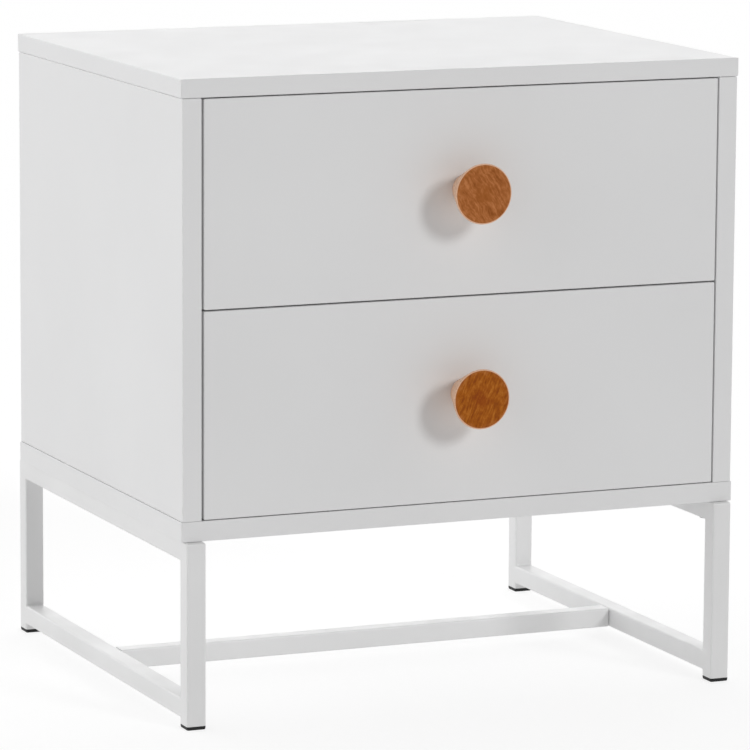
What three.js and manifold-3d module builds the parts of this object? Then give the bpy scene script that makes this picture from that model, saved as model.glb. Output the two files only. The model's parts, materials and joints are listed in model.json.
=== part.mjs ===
// Nightstand with two drawers: a white board cabinet on a base of welded square tube.
// Millimetres, +Z up, front towards -Y. The origin is on the floor, under the middle of
// the whole object's box, knobs included.

import * as THREE from 'three';
import { mergeVertices } from 'three/addons/utils/BufferGeometryUtils.js';
import Module from 'manifold-3d';

const wasm = await Module();
wasm.setup();

// Overall sizes.
const overallWidth = 450;
const overallHeight = 480;
const cabinetDepth = 360;
const baseHeight = 140; // floor to the underside of the bottom board
const frontOverhang = 5; // base frame ahead of the cabinet's front
const rearOverhang = 9; // base frame behind the cabinet's back

// Gaps between pieces that are screwed, glued or welded together.
const jointGap = 0.2;
const fitGap = 0.3; // round a piece in its groove, bore or tube
const overcut = 1; // a cutter's reach past the face that it opens

// Cabinet boards.
const boardThickness = 15;
const topThickness = 14;
const sideInset = 1; // side panels behind the ends of the top and bottom boards
const backThickness = 3;
const backInset = 10;
const backGrooveDepth = 5;

// Cam locks in the side panels.
const camRadius = 7.5;
const camBackWall = 2.5; // board left behind a cam's bore
const camEndDistance = 24;
const camEdgeDistance = 50;

// Drawer fronts and the gaps round them.
const drawerNames = ['lower', 'upper'];
const knobRises = [5, 2.5]; // knob above its front's middle, lower drawer first
const frontLeftGap = 1.8;
const frontRightGap = 1.3;
const frontTopGap = 0.9;
const frontMiddleGap = 1.2;
const frontBottomGap = 0.7;

// Drawer boxes.
const boxWall = 12;
const boxRise = 12; // lower edge above the front's lower edge
const boxDrop = 31; // upper edge below the front's upper edge
const boxRearRoom = 32; // between a closed box and the back panel
const boxBottomThickness = 3;
const boxBottomRise = 8;
const boxGrooveDepth = 5;

// Drawer runners: three nested channels on each side of a drawer.
const runnerThickness = 12.7;
const runnerWall = 1.2;
const runnerSetback = 2; // behind the drawer front
const cabinetRunnerHeight = 35;
const middleRunnerHeight = 27;
const drawerRunnerHeight = 19;
const middleWebSetback = 3; // middle member's web off the side panel
const cabinetLipGap = 3.2; // cabinet member's lips short of the drawer member's back
const middleLipGap = 2.1; // middle member's lips short of the drawer box
const drawerLipGap = 1.8; // drawer member's lips short of the middle member's web

// Turned wooden knobs.
const knobProjection = 33;
const knobFaceRadius = 22.5;
const knobBaseRadius = 11;
const knobRimRadius = 0.8;
const knobScrewBite = 12;

// Square tube of the base.
const tubeSize = 15;
const tubeWall = 1.5;
const frameInset = 2.5; // base frame inside the cabinet's ends
const lowerRailRise = 7;
const footThickness = 2.5;
const footPlugLength = 10;
const stretcherGap = 0.5;
const spigotLength = 25;

// Screws.
const screwRadius = 2;
const screwHeadRadius = 4;
const screwHeadHeight = 2.2;
const screwCrownRadius = 3.2;
const screwRimHeight = 1.1;
const screwTip = 2;
const frameScrewBite = 10;
const frameScrewSetback = 15; // behind the leg
const setScrewRadius = 2.5;
const setScrewLength = 6;
const setScrewSetback = 12;

// Facets of round pieces.
const knobSides = 40;
const rodSides = 20;
const rimSteps = 4;
const weldTolerance = 1e-5; // vertices nearer than this are one vertex

// What follows from the sizes above.
const totalDepth = knobProjection + cabinetDepth + rearOverhang;
const cabinetFront = knobProjection - totalDepth / 2;
const frameFront = cabinetFront - frontOverhang;
const frameDepth = frontOverhang + cabinetDepth + rearOverhang;
const frameTop = baseHeight - jointGap;
const halfWidth = overallWidth / 2;
const sideOuter = halfWidth - sideInset;
const openingHalf = sideOuter - boardThickness;
const openingBottom = baseHeight + boardThickness;
const openingTop = overallHeight - topThickness;
const backFace = cabinetDepth - backInset - backThickness;
const frameGaps = frontTopGap + frontBottomGap + frontMiddleGap * (drawerNames.length - 1);
const frontHeight = (openingTop - openingBottom - frameGaps) / drawerNames.length;
const frontSpan = [frontLeftGap - openingHalf, openingHalf - frontRightGap];
const boxHalf = openingHalf - runnerThickness;
const boxInnerHalf = boxHalf - boxWall;
const boxRear = backFace - boxRearRoom;
const boxTop = frontHeight - boxDrop;
const boxFloor = boxRise + boxBottomRise;
const boxFront = boardThickness + jointGap;
const tubeHalf = tubeSize / 2;
const boreHalf = tubeHalf - tubeWall;
const plugHalf = boreHalf - fitGap;
const railInner = halfWidth - frameInset - tubeSize;
const drawerWeb = runnerThickness - jointGap;
const cabinetLipReach = drawerWeb - cabinetLipGap;
const middleLipReach = runnerThickness - middleWebSetback - middleLipGap;
const drawerLipReach = drawerWeb - middleWebSetback - runnerWall - drawerLipGap;

// Colour, roughness and metalness of each finish.
const finishes = {
  whiteBoard: [0xf1f0ee, 0.5, 0],
  hardboard: [0xe8e5df, 0.7, 0],
  drawerBox: [0xeceae6, 0.6, 0],
  whiteMetal: [0xf3f3f2, 0.45, 0],
  zinc: [0xb4b8ba, 0.35, 0.9],
  screwSteel: [0x5b5d60, 0.4, 0.9],
  blackPlastic: [0x1c1c1d, 0.6, 0],
  oiledWood: [0xb0703c, 0.5, 0],
};

function addPiece(group, name, geometry, finish) {
  const [color, roughness, metalness] = finishes[finish];
  const material = new THREE.MeshStandardMaterial({ color, roughness, metalness });
  const mesh = new THREE.Mesh(geometry, material);
  mesh.name = name;
  group.add(mesh);
}

// A block between two values on each axis, given in either order.
function block(xSpan, ySpan, zSpan) {
  const spans = [xSpan, ySpan, zSpan];
  const sizes = spans.map(([from, to]) => Math.abs(to - from));
  const middles = spans.map(([from, to]) => (from + to) / 2);
  const geometry = new THREE.BoxGeometry(...sizes);
  geometry.translate(...middles);
  return geometry;
}

// A span of the same reach on both sides of zero.
function across(half) {
  return [-half, half];
}

// A round rod along x, y or z, between two values on that axis.
function rod(axis, radius, centre, from, to) {
  const geometry = new THREE.CylinderGeometry(radius, radius, Math.abs(to - from), rodSides);
  if (axis === 'x') geometry.rotateZ(Math.PI / 2);
  if (axis === 'z') geometry.rotateX(Math.PI / 2);
  const place = new THREE.Vector3(...centre);
  place[axis] = (from + to) / 2;
  geometry.translate(place.x, place.y, place.z);
  return geometry;
}

// A bar of one outline in x and z, from y = from to y = to.
function barAlongY(outline, from, to) {
  const shape = new THREE.Shape(outline.map(([x, z]) => new THREE.Vector2(x, z)));
  const geometry = new THREE.ExtrudeGeometry(shape, { depth: to - from, bevelEnabled: false });
  geometry.rotateX(Math.PI / 2);
  geometry.translate(0, to, 0);
  return geometry;
}

function solidOf(geometry) {
  const bare = geometry.clone();
  bare.deleteAttribute('normal');
  bare.deleteAttribute('uv');
  const merged = mergeVertices(bare, weldTolerance);
  const vertProperties = Float32Array.from(merged.attributes.position.array);
  const triVerts = Uint32Array.from(merged.index.array);
  return new wasm.Manifold(new wasm.Mesh({ numProp: 3, vertProperties, triVerts }));
}

function geometryOf(solid) {
  const mesh = solid.getMesh();
  const geometry = new THREE.BufferGeometry();
  geometry.setAttribute('position', new THREE.BufferAttribute(mesh.vertProperties, 3));
  geometry.setIndex(new THREE.BufferAttribute(mesh.triVerts, 1));
  return geometry;
}

function cut(geometry, cutters) {
  let solid = solidOf(geometry);
  for (const cutter of cutters) {
    solid = solid.subtract(solidOf(cutter));
  }
  return geometryOf(solid);
}

function joined(first, second) {
  return geometryOf(solidOf(first).add(solidOf(second)));
}

// A pan-head screw along +Y, with the underside of its head at y = 0.
function panScrew(shankLength) {
  const profile = [
    [0, -screwHeadHeight],
    [screwCrownRadius, -screwHeadHeight],
    [screwHeadRadius, -screwRimHeight],
    [screwHeadRadius, 0],
    [screwRadius, 0],
    [screwRadius, shankLength - screwTip],
    [0, shankLength],
  ];
  return new THREE.LatheGeometry(profile.map(([r, y]) => new THREE.Vector2(r, y)), rodSides);
}

// Places along the base frame's depth of the screws that hold the cabinet, from its front.
function frameScrewPlaces() {
  const setback = tubeSize + frameScrewSetback;
  return [setback, frameDepth - setback];
}

// The groove that holds the back panel, as a span in depth.
function backGroove() {
  return [backFace - fitGap, backFace + backThickness + fitGap];
}

// Each cam's name ending, place in depth and height.
function camPlaces() {
  const topZ = openingTop - camEndDistance;
  const bottomZ = openingBottom + camEndDistance;
  const rearY = cabinetDepth - camEdgeDistance;
  return [
    ['top_front', camEdgeDistance, topZ],
    ['top_rear', rearY, topZ],
    ['bottom_front', camEdgeDistance, bottomZ],
    ['bottom_rear', rearY, bottomZ],
  ];
}

function topBoard() {
  const board = block(across(halfWidth), [0, cabinetDepth], [openingTop, overallHeight]);
  const grooveHeight = [openingTop - overcut, openingTop + backGrooveDepth];
  return cut(board, [block(across(openingHalf + backGrooveDepth), backGroove(), grooveHeight)]);
}

function bottomBoard() {
  const board = block(across(halfWidth), [0, cabinetDepth], [baseHeight, openingBottom]);
  const grooveHeight = [openingBottom - backGrooveDepth, openingBottom + overcut];
  const cutters = [block(across(openingHalf + backGrooveDepth), backGroove(), grooveHeight)];
  const holeFrom = baseHeight - overcut;
  const holeTo = baseHeight + frameScrewBite + fitGap;
  for (const place of frameScrewPlaces()) {
    for (const x of across(railInner + tubeHalf)) {
      const centre = [x, place - frontOverhang, 0];
      cutters.push(rod('z', screwRadius + fitGap, centre, holeFrom, holeTo));
    }
  }
  return cut(board, cutters);
}

// side is -1 for the left panel and 1 for the right one.
function sidePanel(side) {
  const height = [openingBottom + jointGap, openingTop - jointGap];
  const board = block([side * openingHalf, side * sideOuter], [0, cabinetDepth], height);
  const grooveWidth = [side * (openingHalf - overcut), side * (openingHalf + backGrooveDepth)];
  const cutters = [block(grooveWidth, backGroove(), [openingBottom, openingTop])];
  const boreEnd = side * (sideOuter - camBackWall);
  for (const [, y, z] of camPlaces()) {
    cutters.push(rod('x', camRadius + fitGap, [0, y, z], side * (openingHalf - overcut), boreEnd));
  }
  return cut(board, cutters);
}

function backPanel() {
  const reach = backGrooveDepth - fitGap;
  const height = [openingBottom - reach, openingTop + reach];
  return block(across(openingHalf + reach), [backFace, backFace + backThickness], height);
}

function makeCabinet() {
  const cabinet = new THREE.Group();
  cabinet.position.y = cabinetFront;
  addPiece(cabinet, 'top_board', topBoard(), 'whiteBoard');
  addPiece(cabinet, 'bottom_board', bottomBoard(), 'whiteBoard');
  addPiece(cabinet, 'back_panel', backPanel(), 'hardboard');
  for (const [sideName, side] of [['left', -1], ['right', 1]]) {
    addPiece(cabinet, `${sideName}_side_panel`, sidePanel(side), 'whiteBoard');
    const camFrom = side * (openingHalf + fitGap);
    const camTo = side * (sideOuter - camBackWall - fitGap);
    for (const [ending, y, z] of camPlaces()) {
      const cam = rod('x', camRadius, [0, y, z], camFrom, camTo);
      addPiece(cabinet, `${sideName}_cam_${ending}`, cam, 'zinc');
    }
  }
  return cabinet;
}

// A leg is closed at the top and open at the foot. y is its front face.
function leg(y) {
  const foot = footThickness + jointGap;
  const tube = block(across(tubeHalf), [y, y + tubeSize], [foot, frameTop]);
  const boreDepth = [y + tubeWall, y + tubeSize - tubeWall];
  const bore = block(across(boreHalf), boreDepth, [foot - overcut, frameTop - tubeWall]);
  return cut(tube, [bore]);
}

// A rail between the two legs, with its underside at z, and the holes named by their places.
function rail(z, holePlaces) {
  const ends = [tubeSize + jointGap, frameDepth - tubeSize - jointGap];
  const tube = block(across(tubeHalf), ends, [z, z + tubeSize]);
  const boreEnds = [ends[0] - overcut, ends[1] + overcut];
  const cutters = [block(across(boreHalf), boreEnds, [z + tubeWall, z + tubeSize - tubeWall])];
  for (const y of holePlaces) {
    cutters.push(rod('z', screwRadius + fitGap, [0, y, 0], z - overcut, z + tubeSize + overcut));
  }
  return cut(tube, cutters);
}

// A foot cap is a flat pad with a plug that fills the leg's bore. y is its front face.
function footCap(y) {
  const pad = block(across(tubeHalf), [y, y + tubeSize], [0, footThickness]);
  const middle = y + tubeHalf;
  const plugDepth = [middle - plugHalf, middle + plugHalf];
  const plug = block(across(plugHalf), plugDepth, [0, footThickness + footPlugLength]);
  return joined(pad, plug);
}

function makeSideFrame(sideName, side) {
  const frame = new THREE.Group();
  frame.position.set(side * (railInner + tubeHalf), frameFront, 0);
  const topRailBase = frameTop - tubeSize;
  for (const [endName, y] of [['front', 0], ['rear', frameDepth - tubeSize]]) {
    addPiece(frame, `${sideName}_${endName}_leg`, leg(y), 'whiteMetal');
    addPiece(frame, `${sideName}_${endName}_foot_cap`, footCap(y), 'blackPlastic');
  }
  addPiece(frame, `${sideName}_top_rail`, rail(topRailBase, frameScrewPlaces()), 'whiteMetal');
  addPiece(frame, `${sideName}_lower_rail`, rail(lowerRailRise, []), 'whiteMetal');
  frameScrewPlaces().forEach((y, index) => {
    const screw = panScrew(jointGap + tubeSize + jointGap + frameScrewBite);
    screw.rotateX(Math.PI / 2);
    screw.translate(0, y, topRailBase - jointGap);
    addPiece(frame, `${sideName}_frame_screw_${['front', 'rear'][index]}`, screw, 'screwSteel');
  });
  return frame;
}

// Set screws pinch the stretcher's lower wall to the spigots. side says which end.
function setScrewHole(side, from, to) {
  return rod('z', setScrewRadius + fitGap, [side * (railInner - setScrewSetback), 0, 0], from, to);
}

function stretcher() {
  const half = railInner - stretcherGap;
  const height = [lowerRailRise, lowerRailRise + tubeSize];
  const boreHeight = [lowerRailRise + tubeWall, lowerRailRise + tubeSize - tubeWall];
  const cutters = [block(across(half + overcut), across(boreHalf), boreHeight)];
  for (const side of [-1, 1]) {
    cutters.push(setScrewHole(side, lowerRailRise - overcut, lowerRailRise + tubeHalf));
  }
  return cut(block(across(half), across(tubeHalf), height), cutters);
}

// A solid peg welded to a lower rail's inner face, which the stretcher slips over.
function spigot(side) {
  const middle = lowerRailRise + tubeHalf;
  const length = [side * (railInner - jointGap), side * (railInner - spigotLength)];
  const peg = block(length, across(plugHalf), [middle - plugHalf, middle + plugHalf]);
  return cut(peg, [setScrewHole(side, lowerRailRise, lowerRailRise + setScrewLength + fitGap)]);
}

function setScrew(side) {
  const centre = [side * (railInner - setScrewSetback), 0, 0];
  return rod('z', setScrewRadius, centre, lowerRailRise + fitGap, lowerRailRise + setScrewLength);
}

function makeBase() {
  const base = new THREE.Group();
  const crossbar = new THREE.Group();
  crossbar.position.y = frameFront + frameDepth / 2;
  addPiece(crossbar, 'stretcher', stretcher(), 'whiteMetal');
  for (const [sideName, side] of [['left', -1], ['right', 1]]) {
    base.add(makeSideFrame(sideName, side));
    addPiece(crossbar, `${sideName}_spigot`, spigot(side), 'zinc');
    addPiece(crossbar, `${sideName}_set_screw`, setScrew(side), 'screwSteel');
  }
  base.add(crossbar);
  return base;
}

// A knob is a cone that widens from its base at y = 0 to a flat face, with a rounded rim
// and a blind bore for its screw.
function knob() {
  const length = knobProjection - jointGap;
  const boreRadius = screwRadius + fitGap;
  const boreDepth = knobScrewBite + fitGap;
  const profile = [[0, boreDepth], [boreRadius, boreDepth], [boreRadius, 0], [knobBaseRadius, 0]];
  for (let step = 0; step <= rimSteps; step += 1) {
    const angle = (Math.PI / 2) * (step / rimSteps);
    const radius = knobFaceRadius - knobRimRadius + knobRimRadius * Math.cos(angle);
    profile.push([radius, length - knobRimRadius + knobRimRadius * Math.sin(angle)]);
  }
  profile.push([0, length]);
  return new THREE.LatheGeometry(profile.map(([r, y]) => new THREE.Vector2(r, y)), knobSides);
}

function drawerFront(knobHeight) {
  const board = block(frontSpan, [0, boardThickness], [0, frontHeight]);
  const grooveDepth = [boardThickness - boxGrooveDepth, boardThickness + overcut];
  const grooveHeight = [boxFloor - fitGap, boxFloor + boxBottomThickness + fitGap];
  const groove = block(across(boxInnerHalf + boxGrooveDepth), grooveDepth, grooveHeight);
  const hole = rod('y', screwRadius + fitGap, [0, 0, knobHeight], -overcut, boardThickness + overcut);
  return cut(board, [groove, hole]);
}

function boxSide(side) {
  const depth = [boxFront, boxRear];
  const board = block([side * boxInnerHalf, side * boxHalf], depth, [boxRise, boxTop]);
  const grooveWidth = [side * (boxInnerHalf - overcut), side * (boxInnerHalf + boxGrooveDepth)];
  const grooveHeight = [boxFloor - fitGap, boxFloor + boxBottomThickness + fitGap];
  return cut(board, [block(grooveWidth, [depth[0] - overcut, depth[1] + overcut], grooveHeight)]);
}

function boxBack() {
  const height = [boxFloor + boxBottomThickness + jointGap, boxTop];
  return block(across(boxInnerHalf - jointGap), [boxRear - boxWall, boxRear], height);
}

function boxBottom() {
  const depth = [boardThickness - boxGrooveDepth + fitGap, boxRear];
  const half = boxInnerHalf + boxGrooveDepth - fitGap;
  return block(across(half), depth, [boxFloor, boxFloor + boxBottomThickness]);
}

// A drawer's own frame has its front face at y = 0 and the front's lower edge at z = 0.
function makeDrawer(name, knobRise) {
  const drawer = new THREE.Group();
  const knobHeight = frontHeight / 2 + knobRise;
  addPiece(drawer, `${name}_drawer_front`, drawerFront(knobHeight), 'whiteBoard');
  addPiece(drawer, `${name}_box_left_side`, boxSide(-1), 'drawerBox');
  addPiece(drawer, `${name}_box_right_side`, boxSide(1), 'drawerBox');
  addPiece(drawer, `${name}_box_back`, boxBack(), 'drawerBox');
  addPiece(drawer, `${name}_box_bottom`, boxBottom(), 'hardboard');
  const turnedKnob = knob();
  turnedKnob.rotateZ(Math.PI);
  turnedKnob.translate(0, -jointGap, knobHeight);
  addPiece(drawer, `${name}_knob`, turnedKnob, 'oiledWood');
  const screw = panScrew(jointGap + boardThickness + jointGap + knobScrewBite);
  screw.rotateZ(Math.PI);
  screw.translate(0, boxFront, knobHeight);
  addPiece(drawer, `${name}_knob_screw`, screw, 'screwSteel');
  return drawer;
}

// A channel's outline: its web stands at x = web and its lips reach by the given amount, which
// is negative where the channel opens the other way.
function channel(web, reach, height, side) {
  const half = height / 2;
  const wall = Math.sign(reach) * runnerWall;
  const lip = half - runnerWall;
  const outline = [
    [web, -half],
    [web + reach, -half],
    [web + reach, -lip],
    [web + wall, -lip],
    [web + wall, lip],
    [web + reach, lip],
    [web + reach, half],
    [web, half],
  ];
  return outline.map(([x, z]) => [-side * x, z]);
}

// Runners on one side of a drawer. x = 0 is the side panel's inner face, z = 0 their middle.
function makeRunners(name, sideName, side) {
  const runners = new THREE.Group();
  const from = boardThickness + runnerSetback;
  const to = boxRear;
  const outlines = [
    ['cabinet', channel(jointGap, cabinetLipReach, cabinetRunnerHeight, side)],
    ['middle', channel(middleWebSetback, middleLipReach, middleRunnerHeight, side)],
    ['drawer', channel(drawerWeb, -drawerLipReach, drawerRunnerHeight, side)],
  ];
  for (const [memberName, outline] of outlines) {
    addPiece(runners, `${name}_${sideName}_${memberName}_runner`, barAlongY(outline, from, to), 'zinc');
  }
  return runners;
}

function makeNightstand() {
  const nightstand = new THREE.Group();
  nightstand.add(makeCabinet());
  nightstand.add(makeBase());
  drawerNames.forEach((name, index) => {
    const drawerBottom = openingBottom + frontBottomGap + index * (frontHeight + frontMiddleGap);
    const drawer = makeDrawer(name, knobRises[index]);
    drawer.position.set(0, cabinetFront, drawerBottom);
    nightstand.add(drawer);
    const runnerHeight = drawerBottom + (boxRise + boxTop) / 2;
    for (const [sideName, side] of [['left', -1], ['right', 1]]) {
      const runners = makeRunners(name, sideName, side);
      runners.position.set(side * openingHalf, cabinetFront, runnerHeight);
      nightstand.add(runners);
    }
  });
  return nightstand;
}

export default makeNightstand();
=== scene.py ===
import json
import math

import bmesh
import bpy
import numpy as np
from mathutils import Matrix, Vector

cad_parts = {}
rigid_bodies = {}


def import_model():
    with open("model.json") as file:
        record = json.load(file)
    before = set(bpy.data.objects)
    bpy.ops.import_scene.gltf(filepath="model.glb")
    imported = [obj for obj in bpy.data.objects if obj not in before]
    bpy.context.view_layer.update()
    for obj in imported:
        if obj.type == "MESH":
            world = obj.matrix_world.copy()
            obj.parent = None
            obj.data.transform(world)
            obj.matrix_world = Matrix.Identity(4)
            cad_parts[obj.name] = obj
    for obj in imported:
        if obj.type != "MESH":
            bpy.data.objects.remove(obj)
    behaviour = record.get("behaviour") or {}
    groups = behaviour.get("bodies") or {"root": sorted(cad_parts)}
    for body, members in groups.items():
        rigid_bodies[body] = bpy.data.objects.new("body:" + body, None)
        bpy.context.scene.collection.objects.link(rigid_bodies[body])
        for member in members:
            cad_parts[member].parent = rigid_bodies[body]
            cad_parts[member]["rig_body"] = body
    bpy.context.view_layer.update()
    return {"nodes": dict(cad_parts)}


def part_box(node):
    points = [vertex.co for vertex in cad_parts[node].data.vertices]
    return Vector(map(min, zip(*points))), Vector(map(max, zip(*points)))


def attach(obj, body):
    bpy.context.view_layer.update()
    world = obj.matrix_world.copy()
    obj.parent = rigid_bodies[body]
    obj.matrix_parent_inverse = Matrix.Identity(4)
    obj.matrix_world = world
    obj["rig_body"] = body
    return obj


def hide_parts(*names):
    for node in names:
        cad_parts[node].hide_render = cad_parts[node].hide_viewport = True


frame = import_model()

# White bedside cabinet with two drawers, turned wooden knobs and a base of welded square tube.
# Metres, +Z up, front towards -Y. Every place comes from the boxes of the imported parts.

scene = bpy.context.scene
fullTurn = 2 * math.pi
quarterTurn = math.pi / 2


# A shape is a pair: an array of points, and a list of faces that number them.

def gridFaces(rows, columns, closedRows=False):
    # each face joins two neighbours in a row to the two beside them in the next row
    index = np.arange(rows * columns).reshape(rows, columns)
    index = np.hstack([index, index[:, :1]])
    if closedRows:
        index = np.vstack([index, index[:1]])
    corners = [index[:-1, :-1], index[:-1, 1:], index[1:, 1:], index[1:, :-1]]
    return np.stack(corners, axis=-1).reshape(-1, 4).tolist()


def onAxis(axis, first, second, along):
    # along runs on the named axis, first and second on the other two in x, y, z order
    order = {"x": (along, first, second), "y": (first, along, second), "z": (first, second, along)}
    return np.stack(np.broadcast_arrays(*order[axis]), axis=-1)


def ringGrid(axis, first, second, along, closedRows=False):
    # rows of rings, joined by faces; the first and last rings are filled unless the rows close
    points = onAxis(axis, first, second, along)
    rows, columns = points.shape[:2]
    faces = gridFaces(rows, columns, closedRows)
    if not closedRows:
        faces += [list(range(columns)), list(range((rows - 1) * columns, rows * columns))]
    return points.reshape(-1, 3), faces


def squareSweep(axis, centre, rows, steps=4, closedRows=False):
    # a rectangle with round corners carried along an axis: a ring point is its quarter's corner
    # centre plus radius times (cos, sin); a row holds two half sizes, the radius and the place
    halfFirst, halfSecond, radius, along = np.array(rows, float).T[:, :, None]
    quarter = np.linspace(0, quarterTurn, steps + 1)
    turn = np.concatenate([quarter + side * quarterTurn for side in range(4)])
    firstSign = np.repeat([1, -1, -1, 1], steps + 1)
    secondSign = np.repeat([1, 1, -1, -1], steps + 1)
    first = centre[0] + firstSign * (halfFirst - radius) + radius * np.cos(turn)
    second = centre[1] + secondSign * (halfSecond - radius) + radius * np.sin(turn)
    return ringGrid(axis, first, second, along, closedRows)


def roundedBlock(axis, low, high, edge, lowEnd=None, highEnd=None, steps=4):
    # a block with one radius on its long edges and one at each end: towards an end the outline
    # steps in by r(1 - cos t) while its place moves by r sin t
    lowEnd = edge if lowEnd is None else lowEnd
    highEnd = edge if highEnd is None else highEnd
    first, second, third = {"x": (1, 2, 0), "y": (0, 2, 1), "z": (0, 1, 2)}[axis]
    quarter = np.linspace(0, quarterTurn, steps + 1)
    lowInset = lowEnd * (1 - np.sin(quarter))
    highInset = highEnd * (1 - np.cos(quarter))
    lowPlace = low[third] + lowEnd * (1 - np.cos(quarter))
    highPlace = high[third] - highEnd * (1 - np.sin(quarter))
    inset = np.concatenate([lowInset, highInset])
    halfFirst = (high[first] - low[first]) / 2 - inset
    halfSecond = (high[second] - low[second]) / 2 - inset
    radius = np.maximum(edge - inset, 0)
    centre = (low[first] + high[first]) / 2, (low[second] + high[second]) / 2
    rows = np.stack([halfFirst, halfSecond, radius, np.concatenate([lowPlace, highPlace])], axis=1)
    return squareSweep(axis, centre, rows, steps)


def turned(axis, centre, profile, sides=64):
    # a profile turned about an axis: a point is the centre plus radius times (cos, sin)
    radius, along = np.array(profile, float).T[:, :, None]
    turn = np.linspace(0, fullTurn, sides, endpoint=False)
    first = centre[0] + radius * np.cos(turn)
    second = centre[1] + radius * np.sin(turn)
    points = onAxis(axis, first, second, along)
    return points.reshape(-1, 3), gridFaces(len(profile), sides)


def rod(axis, centre, radius, start, end, sides=32):
    return turned(axis, centre, [(0, start), (radius, start), (radius, end), (0, end)], sides)


def straightBar(axis, outline, start, end):
    # a closed outline carried from start to end
    first, second = np.array(outline, float).T[:, None, :]
    return ringGrid(axis, first, second, np.array([[start], [end]]))


def roundedLine(corners, radius, steps=5):
    # a bent line: at each inner corner p it follows the arc that touches both arms, made from
    # the arms' unit vectors a and b as p + r((1 - sin t) a + (1 - cos t) b)
    corners = np.array(corners, float)
    turn = np.linspace(0, quarterTurn, steps + 1)[:, None]
    before, here, after = corners[:-2], corners[1:-1], corners[2:]
    armIn = (before - here) / np.linalg.norm(before - here, axis=1)[:, None]
    armOut = (after - here) / np.linalg.norm(after - here, axis=1)[:, None]
    bend = (1 - np.sin(turn)) * armIn[:, None] + (1 - np.cos(turn)) * armOut[:, None]
    arcs = here[:, None] + radius * bend
    return np.concatenate([corners[:1], arcs.reshape(-1, 2), corners[-1:]])


def stripOutline(line, thickness):
    # a bent strip: the line moved half its thickness to one side, then back along the other
    along = np.diff(line, axis=0)
    along /= np.linalg.norm(along, axis=1)[:, None]
    along = np.concatenate([along[:1], along[:-1] + along[1:], along[-1:]])
    along /= np.linalg.norm(along, axis=1)[:, None]
    side = np.stack([-along[:, 1], along[:, 0]], axis=1) * thickness / 2
    return np.concatenate([line + side, (line - side)[::-1]])


def together(shapes):
    # several shapes as one: the faces count on past the points of the shapes before them
    faces = []
    start = 0
    for points, own in shapes:
        faces += [[start + number for number in face] for face in own]
        start += len(points)
    return np.concatenate([points for points, own in shapes]), faces


weldDistance = 2e-6
sharpAngle = math.radians(32)
flatShare = 0.99  # a face this nearly along an axis is no edge


def meshOf(name, shape):
    mesh = bpy.data.meshes.new(name)
    points, faces = shape
    mesh.from_pydata(points.tolist(), [], faces)
    build = bmesh.new()
    build.from_mesh(mesh)
    bmesh.ops.remove_doubles(build, verts=build.verts, dist=weldDistance)
    bmesh.ops.dissolve_degenerate(build, dist=weldDistance / 2, edges=build.edges)
    bmesh.ops.recalc_face_normals(build, faces=build.faces)
    build.to_mesh(mesh)
    build.free()
    return mesh


def addObject(name, content):
    thing = bpy.data.objects.new(name, content)
    scene.collection.objects.link(thing)
    return thing


def settle(thing):
    # what the modifiers make becomes the piece's own mesh
    graph = bpy.context.evaluated_depsgraph_get()
    mesh = bpy.data.meshes.new_from_object(thing.evaluated_get(graph), depsgraph=graph)
    old = thing.data
    thing.modifiers.clear()
    thing.data = mesh
    bpy.data.meshes.remove(old)
    mesh.name = thing.name


def carve(thing, cutters):
    # takes each cutter out of the piece
    blocks = [addObject("cutter", meshOf("cutter", cutter)) for cutter in cutters]
    for block in blocks:
        cut = thing.modifiers.new("cut", "BOOLEAN")
        cut.operation = "DIFFERENCE"
        cut.solver = "EXACT"
        cut.object = block
    settle(thing)
    for block in blocks:
        mesh = block.data
        bpy.data.objects.remove(block)
        bpy.data.meshes.remove(mesh)


def markEdges(mesh):
    # edge is 0 on faces that look nearly along an axis and 1 on faces that look between two
    normals = np.empty(len(mesh.polygons) * 3, np.float32)
    mesh.polygon_normals.foreach_get("vector", normals)
    largest = np.abs(normals.reshape(-1, 3)).max(axis=1)
    share = np.clip((flatShare - largest) / (flatShare - math.sqrt(0.5)), 0, 1)
    mesh.attributes.new("edge", "FLOAT", "FACE").data.foreach_set("value", share.astype(np.float32))


def makePiece(name, shape, slot, standsFor=(), rideOn=None, cutters=(), bevel=None):
    thing = addObject(name, meshOf(name, shape))
    if bevel:
        rounding = thing.modifiers.new("rounding", "BEVEL")
        rounding.width, rounding.segments = bevel
        rounding.limit_method = "ANGLE"
        rounding.angle_limit = sharpAngle
        settle(thing)
    if cutters:
        carve(thing, cutters)
    thing.data.shade_smooth()
    thing.data.set_sharp_from_angle(angle=sharpAngle)
    even = thing.modifiers.new("even shading", "WEIGHTED_NORMAL")
    even.keep_sharp = True
    settle(thing)
    markEdges(thing.data)
    thing.data.materials.clear()
    thing.data.materials.append(materialFor[slot])
    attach(thing, rideOn or frame["nodes"][standsFor[0]]["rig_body"])
    if standsFor:
        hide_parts(*standsFor)
    return thing


def grown(box, amount):
    low, high = box
    room = Vector((amount, amount, amount))
    return low - room, high + room


def emptyTree(owner):
    owner.use_nodes = True
    owner.node_tree.nodes.clear()
    return owner.node_tree


def newMaterial(name, **fixed):
    material = bpy.data.materials.new(name)
    tree = emptyTree(material)
    shader = tree.nodes.new("ShaderNodeBsdfPrincipled")
    output = tree.nodes.new("ShaderNodeOutputMaterial")
    tree.links.new(shader.outputs["BSDF"], output.inputs["Surface"])
    for socket, value in fixed.items():
        shader.inputs[socket.replace("_", " ")].default_value = value
    return material, tree, shader


def addNode(tree, kind, inputs, **settings):
    node = tree.nodes.new("ShaderNode" + kind)
    for key, value in settings.items():
        setattr(node, key, value)
    for socket, value in inputs.items():
        if isinstance(value, bpy.types.NodeSocket):
            tree.links.new(value, node.inputs[socket])
        else:
            node.inputs[socket].default_value = value
    return node


def connect(tree, shader, socket, value):
    tree.links.new(value, shader.inputs[socket])


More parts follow.
